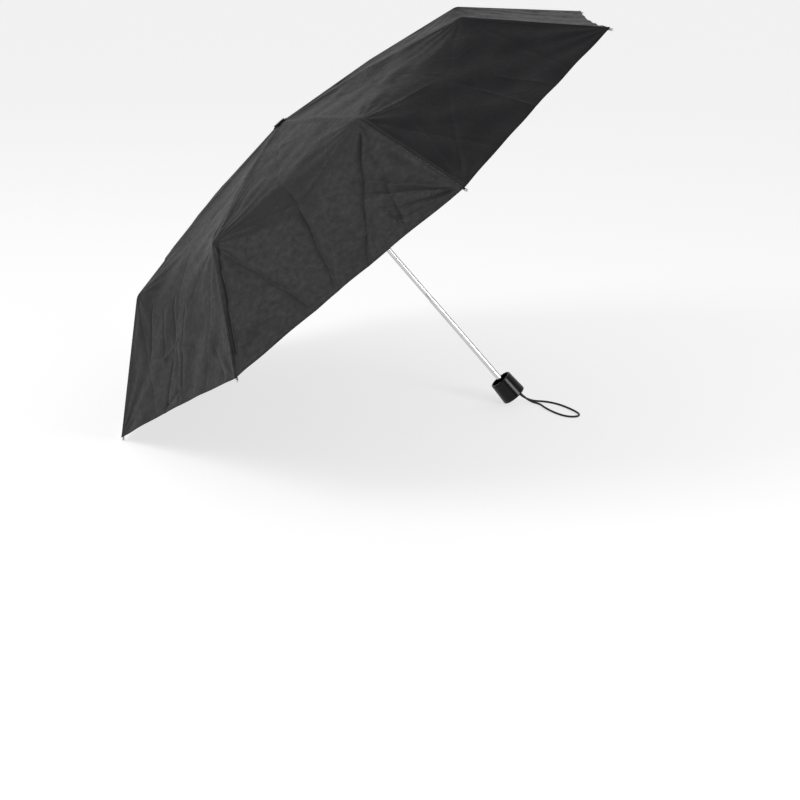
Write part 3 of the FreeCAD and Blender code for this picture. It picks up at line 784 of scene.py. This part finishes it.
CREASES: dict[int, list[Crease]] = {
    0: storage_folds(0.1, 2.45, (-0.35, 0.05, 0.5), -0.35) + streaks(1.0, 5) + [
        Crease((-0.62, 2.12), (-0.55, 2.55), -0.8, 3.0),
        Crease((-0.3, 2.2), (-0.25, 2.6), -0.6, 3.0),
        Crease((-0.08, 2.15), (-0.05, 2.58), -0.8, 3.0),
        Crease((0.2, 2.28), (0.1, 2.6), -0.5, 3.0),
        Crease((-0.55, 2.52), (-0.2, 2.6), 0.9, 3.0),
        Crease((-0.3, 2.6), (0.05, 2.5), 0.9, 3.0),
        Crease((-0.1, 2.52), (0.35, 2.62), 0.8, 3.0),
        Crease((0.12, 2.6), (0.1, 2.87), -0.9, 3.0),
        Crease((-0.05, 2.62), (-0.22, 3.0), -0.8, 3.0),
        Crease((-0.2, 2.93), (0.05, 2.87), -1.4, 3.0),
        Crease((0.03, 2.87), (0.33, 2.9), -1.4, 3.0),
        Crease((0.72, 2.7), (0.86, 2.97), -0.9, 5.0),
    ],
    1: storage_folds(-0.14, 2.18, (-0.26, -0.08, 0.17), -1.15) + streaks(-1.0, 5) + [
        Crease((0.97, 2.02), (0.54, 2.98), -0.7, 5.0),
        Crease((-0.94, 2.03), (-0.962, 2.98), -1.0, 3.0),
        Crease((0.95, 1.97), (0.03, 2.17), -0.5, 2.6),
        Crease((-0.06, 2.03), (-0.5, 2.12), -0.4, 2.6),
        Crease((0.46, 2.62), (0.3, 2.88), -0.7, 3.5),
        Crease((0.96, 2.95), (0.42, 2.46), 1.0, 6.0),
        Crease((0.96, 2.93), (0.5, 2.34), -0.9, 6.0),
        Crease((0.97, 2.96), (0.46, 2.68), 0.9, 5.0),
        Crease((0.97, 2.97), (0.52, 2.82), -0.8, 5.0),
        Crease((-0.1, 0.55), (0.35, 0.75), -0.5, 3.5),
        Crease((-0.05, 0.8), (0.45, 1.05), 0.5, 3.5),
    ],
    2: storage_folds(0.08, 2.27, (-0.5, 0.0, 0.45), -0.4) + streaks(1.0, 4) + [
        Crease((-0.94, 2.03), (-0.962, 2.98), -1.1, 3.4),
        Crease((-0.97, 2.97), (0.0, 2.27), -1.0, 5.0),
        Crease((-0.96, 2.95), (-0.6, 2.3), -0.8, 5.0),
        Crease((-0.9, 2.93), (-0.42, 2.5), -1.3, 11.0),
        Crease((0.0, 2.5), (-0.02, 2.98), 0.8, 3.5),
        Crease((-0.95, 2.02), (-0.05, 2.22), 0.6, 3.5),
        Crease((0.2, 2.55), (0.26, 2.95), 0.5, 3.5),
    ],
    3: storage_folds(-0.1, 2.2, (-0.4, -0.05, 0.35), -0.7) + streaks(-1.0, 4),
    4: storage_folds(0.12, 2.3, (-0.3, 0.08, 0.4), -0.8) + streaks(1.0, 4) + [
        Crease((-0.95, 2.95), (-0.4, 2.5), -0.8, 6.0),
    ],
    5: storage_folds(-0.06, 2.15, (-0.45, 0.02, 0.25), -0.9) + streaks(-1.0, 5) + [
        Crease((0.95, 2.95), (0.5, 2.5), 0.8, 6.0),
        Crease((0.3, 2.5), (0.15, 2.8), -0.6, 4.0),
    ],
    6: storage_folds(0.1, 2.24, (-0.28, -0.04, 0.42), -0.7) + streaks(1.0, 3) + [
        Crease((-0.5, 2.3), (-0.25, 2.6), -0.6, 4.0),
    ],
    7: storage_folds(-0.12, 2.2, (-0.38, 0.06, 0.3), -0.8) + streaks(-1.0, 4) + [
        Crease((0.95, 2.94), (0.5, 2.55), -0.8, 6.0),
    ],
}


@dataclass
class Canopy:
    """The eight gores, built as one surface and cut along every rib, middle and fold line."""

    frame: ShaftFrame
    cloth: bpy.types.Material
    shape: ClothShape = field(default_factory=ClothShape)
    hole_radius: float = 4.6 * MM
    thickness: float = 0.3 * MM
    columns: int = 80
    rows: tuple[int, int, int] = (48, 58, 90)
    squash_joint: str = "runner_slide"
    folded_share: float = 0.05

    def limits(self, section: Section, across: np.ndarray) -> tuple[np.ndarray, np.ndarray]:
        """The distances down the cloth where one section starts and ends.

        Args:
            section: Which section.
            across: How far across the gore, from -1 to 1.

        Returns:
            The start and the end for each point.
        """
        stations = self.shape.stations()
        starts = [self.hole_radius, stations[1], stations[2]]
        start = np.full_like(across, starts[section.value])
        if section is Section.OUTER:
            return start, self.shape.hem_at(across)
        return start, np.full_like(across, stations[section.value + 1])

    def panel_mesh(self, rib: int, side: Side, section: Section) -> bpy.types.Mesh:
        """One half gore's cloth over one length of rib, as a thin closed shell.

        Args:
            rib: The rib's number, from 0.
            side: The side of the rib that it is on.
            section: The length of rib that it is over.

        Returns:
            The mesh in the row's frame, with its map and its smooth normals.
        """
        shell = bmesh.new()
        outer = shell.verts.layers.int.new("outer")
        bmesh.ops.create_grid(shell, x_segments=self.columns, y_segments=self.rows[section.value], size=0.5)
        grown = bmesh.ops.extrude_face_region(shell, geom=shell.faces[:])
        for part in grown["geom"]:
            if isinstance(part, bmesh.types.BMVert):
                part[outer] = 1
        if side is Side.AFTER:
            bmesh.ops.reverse_faces(shell, faces=shell.faces[:])
        mesh = bpy.data.meshes.new("cloth")
        shell.to_mesh(mesh)
        shell.free()
        return self.stretch(mesh, rib, side, section)

    def stretch(self, mesh: bpy.types.Mesh, rib: int, side: Side, section: Section) -> bpy.types.Mesh:
        """Lays a flat two-layer grid on the cloth's surface.

        Args:
            mesh: The grid, one unit wide and long, with its outer layer marked.
            rib: The rib's number, from 0.
            side: The side of the rib that it is on.
            section: The length of rib that it is over.

        Returns:
            The same mesh, in place.
        """
        flat = np.zeros(len(mesh.vertices) * 3)
        mesh.vertices.foreach_get("co", flat)
        flat = flat.reshape(-1, 3) + 0.5
        is_outer = np.zeros(len(mesh.vertices), dtype=np.int32)
        mesh.attributes["outer"].data.foreach_get("value", is_outer)
        gore = rib if side is Side.AFTER else (rib - 1) % RIB_COUNT
        across = (flat[:, 0] - 1) * side.value
        start, end = self.limits(section, across)
        down = start + (end - start) * flat[:, 1]
        middle = self.shape.surface(gore, across, down)
        outward = self.shape.normals(gore, across, down)
        layer = np.where(is_outer == 1, 0.5, -0.5) * self.thickness
        placed = middle + outward * layer[:, None]
        matrix = np.array(self.frame.matrix())
        placed = placed @ matrix[:3, :3].T + matrix[:3, 3]
        outward = outward @ matrix[:3, :3].T
        mesh.vertices.foreach_set("co", placed.ravel())
        self.map_cloth(mesh, across, down)
        self.smooth(mesh, outward)
        mesh.attributes.remove(mesh.attributes["outer"])
        return mesh

    def map_cloth(self, mesh: bpy.types.Mesh, across: np.ndarray, down: np.ndarray) -> None:
        """Gives the cloth its map: metres across from the rib, and metres up from the hem.

        Args:
            mesh: The panel's mesh.
            across: How far across the gore each vertex is.
            down: How far down the cloth each vertex is.
        """
        out, _ = self.shape.profile(across, down)
        from_rib = out * math.sin(HALF_STEP) * (1 - np.abs(across))
        rise = self.shape.hem_at(across) - down
        corners = np.zeros(len(mesh.loops), dtype=np.int32)
        mesh.loops.foreach_get("vertex_index", corners)
        chart = mesh.uv_layers.new(name=CLOTH_UV)
        pairs = np.stack([from_rib, rise], axis=1)[corners]
        chart.data.foreach_set("uv", pairs.astype(np.float32).ravel())

    @staticmethod
    def smooth(mesh: bpy.types.Mesh, outward: np.ndarray) -> None:
        """Shades both layers by the true surface, so that the cuts don't show.

        Args:
            mesh: The panel's mesh.
            outward: The surface's direction at each vertex.
        """
        mesh.update()
        mesh.polygons.foreach_set("use_smooth", np.ones(len(mesh.polygons), dtype=bool))
        flat = np.zeros(len(mesh.polygons) * 3)
        mesh.polygons.foreach_get("normal", flat)
        corners = np.zeros(len(mesh.loops), dtype=np.int32)
        mesh.loops.foreach_get("vertex_index", corners)
        totals = np.zeros(len(mesh.polygons), dtype=np.int32)
        mesh.polygons.foreach_get("loop_total", totals)
        flat = np.repeat(flat.reshape(-1, 3), totals, axis=0)
        true = outward[corners]
        facing = np.sum(flat * true, axis=1, keepdims=True)
        shaded = np.where(np.abs(facing) > 0.5, np.sign(facing) * true, flat)
        mesh.normals_split_custom_set(shaded.tolist())

    def fold_axis(self, rib: int, side: Side, section: Section) -> tuple[Vector, Vector]:
        """The direction in a panel that runs square off its rib, and a point on the rib.

        Args:
            rib: The rib's number, from 0.
            side: The side of the rib that the panel is on.
            section: The length of rib that it is over.

        Returns:
            The direction and the point, in the row's frame.
        """
        corners = [self.shape.crown, self.shape.knee, self.shape.shoulder, self.shape.tip]
        near, far = corners[section.value], corners[section.value + 1]
        angle = (rib + 0.5) * RIB_STEP
        out = Vector((math.cos(angle), math.sin(angle), 0.0))
        along = (out * (far[0] - near[0]) + Vector((0.0, 0.0, far[1] - near[1]))).normalized()
        turn = angle + side.value * (HALF_STEP + math.pi / 2)
        chord = Vector((math.cos(turn), math.sin(turn), 0.0))
        square = (chord - along * chord.dot(along)).normalized()
        anchor = out * near[0] + Vector((0.0, 0.0, near[1]))
        return self.frame.direction(square), self.frame.matrix() @ anchor

    def flat_size(self, section: Section) -> tuple[float, float, float]:
        """A panel's size before it was stretched.

        Args:
            section: The length of rib that it is over.

        Returns:
            Its greatest width, its length and its area.
        """
        middle = np.zeros(1)
        start, end = self.limits(section, middle)
        rib_start, rib_end = self.limits(section, middle + 1)
        first, _ = self.shape.profile(middle + 1, rib_start)
        last, _ = self.shape.profile(middle + 1, rib_end)
        widths = [float(out[0]) * math.sin(HALF_STEP) for out in (first, last)]
        slant = float(rib_end[0] - rib_start[0])
        length = math.sqrt(slant ** 2 - (widths[1] - widths[0]) ** 2)
        scallop = 2 / 3 * float(rib_end[0] - end[0])
        return widths[1], length, sum(widths) / 2 * (length - scallop)

    def build(self) -> list[bpy.types.Object]:
        """Builds every panel and hangs it on its length of rib.

        Returns:
            The panels.
        """
        bodies = {Section.INNER: "inner_rib", Section.MIDDLE: "middle_rib", Section.OUTER: "outer_rib"}
        panels = []
        for rib in range(RIB_COUNT):
            for side in Side:
                for section in Section:
                    name = f"cloth_{rib + 1}_{side.name.lower()}_{section.name.lower()}"
                    panel = finished_object(name, self.panel_mesh(rib, side, section), self.cloth)
                    body = f"{bodies[section]}_{rib + 1}"
                    axis, anchor = self.fold_axis(rib, side, section)
                    width, length, area = self.flat_size(section)
                    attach(panel, body)
                    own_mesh(panel)
                    panels.append(panel)
        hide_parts("canopy")
        for section in Section:
            sizes = [round(value, 4) for value in self.flat_size(section)]
            LOG.info("%s panels: width, length and area %s", section.name.lower(), sizes)
        return panels


@dataclass
class CrownRosette:
    """The ragged round of cloth between the canopy and the cap."""

    frame: ShaftFrame
    cloth: bpy.types.Material
    radius: float = 13.0 * MM
    hole_radius: float = 3.9 * MM
    height: float = 5.62 * MM
    droop: float = 0.13
    droop_start: float = 9.0 * MM
    rings: int = 6
    fray: float = 0.16
    ripple: float = 0.5 * MM
    waves: tuple[int, ...] = (3, 5, 8, 13, 21)
    segments: int = 96

    def build(self) -> bpy.types.Object:
        """Cuts the round with a frayed edge and lets its rim hang down a little.

        Returns:
            The rosette.
        """
        sheet = bmesh.new()
        inner = bmesh.ops.create_circle(sheet, segments=self.segments, radius=self.hole_radius)["verts"]
        rim = list({edge for vertex in inner for edge in vertex.link_edges})
        for _ in range(self.rings):
            grown = bmesh.ops.extrude_edge_only(sheet, edges=rim)["geom"]
            fresh = [part for part in grown if isinstance(part, bmesh.types.BMVert)]
            share = (self.radius - self.hole_radius) / self.rings
            for vertex in fresh:
                vertex.co += vertex.co.normalized() * share
            rim = [edge for edge in grown if isinstance(edge, bmesh.types.BMEdge)
                   and all(vertex in fresh for vertex in edge.verts)]
        draws = np.random.default_rng(7)
        waves = [(count, draws.uniform(0, 2 * math.pi)) for count in self.waves]
        for vertex in sheet.verts:
            out = vertex.co.length
            angle = math.atan2(vertex.co.y, vertex.co.x)
            part = (out - self.hole_radius) / (self.radius - self.hole_radius)
            ripple = sum(math.sin(count * angle + phase) / count for count, phase in waves)
            vertex.co *= 1 + self.fray * ripple * part ** 2
            past = max(0.0, out - self.droop_start)
            vertex.co.z = self.height - self.droop * past + self.ripple * ripple * part ** 3
        bmesh.ops.recalc_face_normals(sheet, faces=sheet.faces[:])
        bmesh.ops.transform(sheet, matrix=self.frame.matrix(), verts=sheet.verts[:])
        mesh = bpy.data.meshes.new("rosette")
        sheet.to_mesh(mesh)
        sheet.free()
        mesh.polygons.foreach_set("use_smooth", np.ones(len(mesh.polygons), dtype=bool))
        piece = finished_object("crown_rosette", mesh, self.cloth)
        shell = piece.modifiers.new("thickness", "SOLIDIFY")
        shell.thickness = 0.2 * MM
        shell.offset = 0.0
        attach(piece, "crown")
        return piece


@dataclass
class WristCord:
    """The doubled wrist cord, from the knot in the handle, round the floor and back."""

    frame: ShaftFrame
    finish: bpy.types.Material
    radius: float = 1.6 * MM
    length: float = 269.6 * MM
    hole_offset: float = 8.0 * MM
    handle_end: float = -543.0 * MM
    floor_depth: float = 3.0 * MM
    strand_side: float = 1.6 * MM
    strand_rise: float = 1.2 * MM
    route: tuple[tuple[float, float, float], ...] = (
        (6.8, -2.2, 11.9), (20.0, -3.0, 2.8), (33.0, -10.0, 1.6), (39.0, -29.0, 1.6),
        (51.0, -52.0, 1.6), (64.0, -68.0, 1.6), (75.0, -73.0, 1.6), (85.5, -71.0, 1.6),
        (89.0, -60.5, 1.6), (84.0, -46.0, 1.6), (75.0, -30.0, 1.6), (61.0, -10.0, 1.6),
        (42.0, 3.0, 1.6), (22.0, 3.0, 2.2), (5.0, 2.2, 10.3))

    def points(self) -> list[Vector]:
        """The cord's route in the row's frame: right of the hole, back, and up from the floor.

        Returns:
            The curve's control points, from one strand's end to the other's.
        """
        hole = self.frame.point(-self.hole_offset, 0.0, self.handle_end)
        ends = []
        for side in (1, -1):
            rise = -self.hole_offset - side * self.strand_rise
            ends.append(self.frame.point(rise, side * self.strand_side, self.handle_end + self.floor_depth))
        line = [Vector((hole.x + right * MM, back * MM, up * MM)) for right, back, up in self.route]
        return [ends[0], *line, ends[1]]

    def build(self) -> bpy.types.Object:
        """Builds the cord as one smooth curve.

        Returns:
            The cord.
        """
        curve = bpy.data.curves.new("wrist_cord", "CURVE")
        curve.dimensions = "3D"
        spline = curve.splines.new("NURBS")
        points = self.points()
        spline.points.add(len(points) - 1)
        for control, point in zip(spline.points, points):
            control.co = (*point, 1.0)
        spline.order_u = 3
        spline.use_endpoint_u = True
        curve.resolution_u = 16
        curve.bevel_depth = self.radius
        curve.bevel_resolution = 5
        curve.use_fill_caps = True
        curve.materials.append(self.finish)
        piece = bpy.data.objects.new("wrist_cord", curve)
        bpy.context.scene.collection.objects.link(piece)
        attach(piece, "handle")
        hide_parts("strap_cord")
        exit_point = self.frame.point(-self.hole_offset, 0.0, self.handle_end)
        return piece


@dataclass
class MetalWork:
    """The rigid parts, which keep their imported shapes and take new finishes."""

    nodes: dict[str, bpy.types.Object]
    finishes: dict[str, bpy.types.Material]

    def dress(self) -> None:
        """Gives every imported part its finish."""
        by_name = {
            "upper_tube": "shaft", "middle_tube": "shaft", "lower_tube": "shaft",
            "crown_hub": "frame_plastic", "runner": "frame_plastic", "top_cap": "cap_plastic",
            "canopy_washer": "washer", "crown_ring_wire": "wire", "runner_ring_wire": "wire",
            "runner_catch": "catch", "upper_tube_catch": "catch", "middle_tube_catch": "catch",
            "handle_cup": "handle", "handle_core": "core", "strap_knot": "knot",
        }
        by_start = {"inner_rib": "rib", "middle_rib": "rib", "outer_rib": "wire", "link_wire": "wire",
                    "stretcher": "rib"}
        for name, node in self.nodes.items():
            start = name.rsplit("_", 1)[0]
            key = by_name.get(name) or by_start.get(start)
            if key is None:
                continue
            node.data.materials.clear()
            node.data.materials.append(self.finishes[key])
        LOG.info("dressed %d packed parts", len(self.nodes))


@dataclass
class Studio:
    """The floor, the soft lights and the camera."""

    lens: float = 67.5
    camera_place: tuple[float, float, float] = (0.076, -2.221, 0.715)
    camera_pitch: float = 17.75
    camera_yaw: float = 0.47
    camera_roll: float = 0.03
    softboxes: tuple = (("key_softbox", (-2.1, -0.7, 1.9), 1.5, 34.0),
                        ("right_strip", (1.85, -1.5, 0.75), 0.85, 22.0))
    aim: tuple[float, float, float] = (0.0, 0.0, 0.25)
    floor_half: float = 30.0
    floor_tone: float = 0.45
    floor_glow: float = 0.66
    overhead: Colour = (0.1, 0.95, 0.6, 0.4)
    frontward: Colour = (-0.8, 0.6, 0.5, 1.35)

    def build(self) -> None:
        """Sets up everything that isn't the object."""
        self.add_floor()
        self.add_world()
        for name, place, size, power in self.softboxes:
            self.add_light(name, place, size, power)
        self.add_camera()

    def add_floor(self) -> None:
        """A wide pale floor."""
        sheet = bmesh.new()
        bmesh.ops.create_grid(sheet, x_segments=1, y_segments=1, size=self.floor_half)
        mesh = bpy.data.meshes.new("floor")
        sheet.to_mesh(mesh)
        sheet.free()
        material, _, shader = new_material("pale_floor")
        shader.inputs["Base Color"].default_value = (*(self.floor_tone,) * 3, 1.0)
        shader.inputs["Roughness"].default_value = 0.9
        shader.inputs["Specular IOR Level"].default_value = 0.1
        shader.inputs["Emission Color"].default_value = (1.0, 1.0, 1.0, 1.0)
        shader.inputs["Emission Strength"].default_value = self.floor_glow
        floor = finished_object("floor", mesh, material)

    def add_world(self) -> None:
        """A white surround, dimmer overhead and behind the camera."""
        world = bpy.data.worlds.new("studio")
        bpy.context.scene.world = world
        world.use_nodes = True
        nodes = NodeTree(world.node_tree)
        background = world.node_tree.nodes["Background"]
        background.inputs["Color"].default_value = (1.0, 1.0, 1.0, 1.0)
        place = nodes.add("ShaderNodeTexCoord").outputs["Generated"]
        parts = nodes.add("ShaderNodeSeparateXYZ", {0: place})
        overhead = nodes.ramp(parts.outputs["Z"], *self.overhead)
        front = nodes.ramp(parts.outputs["Y"], *self.frontward)
        strength = nodes.math("MULTIPLY", overhead, front)
        nodes.link(strength, background.inputs["Strength"])

    def add_light(self, name: str, place: tuple[float, float, float], size: float, power: float) -> None:
        """Adds one square softbox that faces the umbrella.

        Args:
            name: The light's name.
            place: Where it stands.
            size: The length of its side.
            power: Its power in watts.
        """
        data = bpy.data.lights.new(name, "AREA")
        data.size = size
        data.energy = power
        light = bpy.data.objects.new(name, data)
        light.location = place
        aim = Vector(self.aim) - Vector(place)
        light.rotation_euler = aim.to_track_quat("-Z", "Y").to_euler()
        bpy.context.scene.collection.objects.link(light)

    def add_camera(self) -> None:
        """Adds the camera, level with the canopy and looking a little down."""
        data = bpy.data.cameras.new("camera")
        data.lens = self.lens
        camera = bpy.data.objects.new("camera", data)
        camera.location = self.camera_place
        pitch, yaw, roll = (math.radians(x) for x in (self.camera_pitch, self.camera_yaw, self.camera_roll))
        turn = Matrix.Rotation(yaw, 4, "Z") @ Matrix.Rotation(math.pi / 2 - pitch, 4, "X")
        turn = turn @ Matrix.Rotation(roll, 4, "Z")
        camera.rotation_euler = turn.to_euler()
        bpy.context.scene.collection.objects.link(camera)
        bpy.context.scene.camera = camera


def build_finishes(effects: SharedEffects) -> dict[str, bpy.types.Material]:
    """Builds every finish of the rigid parts.

    Args:
        effects: The shared node groups.

    Returns:
        Each material by its use.
    """
    metal = {"metallic": 1.0, "specular": 0.5, "patch": 45.0, "strength": 0.25}
    finishes = {
        "shaft": RigidFinish("polished_steel", (0.68, 0.68, 0.69, 1.0), (0.60, 0.60, 0.61, 1.0),
                             (0.11, 0.13), grain=150.0, depth=0.000001, **metal),
        "rib": RigidFinish("plated_rib_steel", (0.55, 0.56, 0.57, 1.0), (0.38, 0.38, 0.39, 1.0),
                           (0.25, 0.45), grain=900.0, **metal),
        "wire": RigidFinish("drawn_steel_wire", (0.62, 0.62, 0.63, 1.0), (0.42, 0.42, 0.43, 1.0),
                            (0.22, 0.4), grain=900.0, **metal),
        "catch": RigidFinish("spring_steel", (0.50, 0.50, 0.52, 1.0), (0.32, 0.32, 0.33, 1.0),
                             (0.2, 0.38), grain=900.0, **metal),
        "washer": RigidFinish("washer_steel", (0.5, 0.5, 0.5, 1.0), (0.3, 0.3, 0.3, 1.0),
                              (0.3, 0.5), grain=900.0, **metal),
        "frame_plastic": RigidFinish("frame_nylon", (0.012, 0.012, 0.013, 1.0),
                                     (0.03, 0.03, 0.03, 1.0), (0.35, 0.5)),
        "cap_plastic": RigidFinish("cap_plastic", (0.006, 0.006, 0.007, 1.0),
                                   (0.014, 0.014, 0.014, 1.0), (0.28, 0.42)),
        "handle": RigidFinish("gloss_handle", (0.004, 0.004, 0.0045, 1.0),
                              (0.008, 0.008, 0.008, 1.0), (0.14, 0.22), specular=0.2),
        "core": RigidFinish("handle_core_plastic", (0.004, 0.004, 0.004, 1.0),
                            (0.01, 0.01, 0.01, 1.0), (0.4, 0.55)),
        "knot": RigidFinish("knot_cord", (0.008, 0.008, 0.008, 1.0),
                            (0.015, 0.015, 0.015, 1.0), (0.7, 0.8)),
    }
    return {key: finish.material(effects) for key, finish in finishes.items()}


def main() -> None:
    """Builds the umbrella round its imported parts."""
    logging.basicConfig(level=logging.INFO, format="%(name)s: %(message)s")
    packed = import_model()
    bpy.context.scene.view_settings.view_transform = "Standard"
    frame = ShaftFrame.from_rings()
    effects = SharedEffects()
    Studio().build()
    MetalWork(packed["nodes"], build_finishes(effects)).dress()
    cord = WristCord(frame, CordFinish().material()).build()
    LOG.info("built %s", cord.name)
    cloth = ClothFinish().material(effects)
    panels = Canopy(frame, cloth).build()
    LOG.info("built %d cloth panels", len(panels))
    rosette = CrownRosette(frame, cloth).build()
    LOG.info("built %s", rosette.name)


if __name__ == "__main__":
    main()
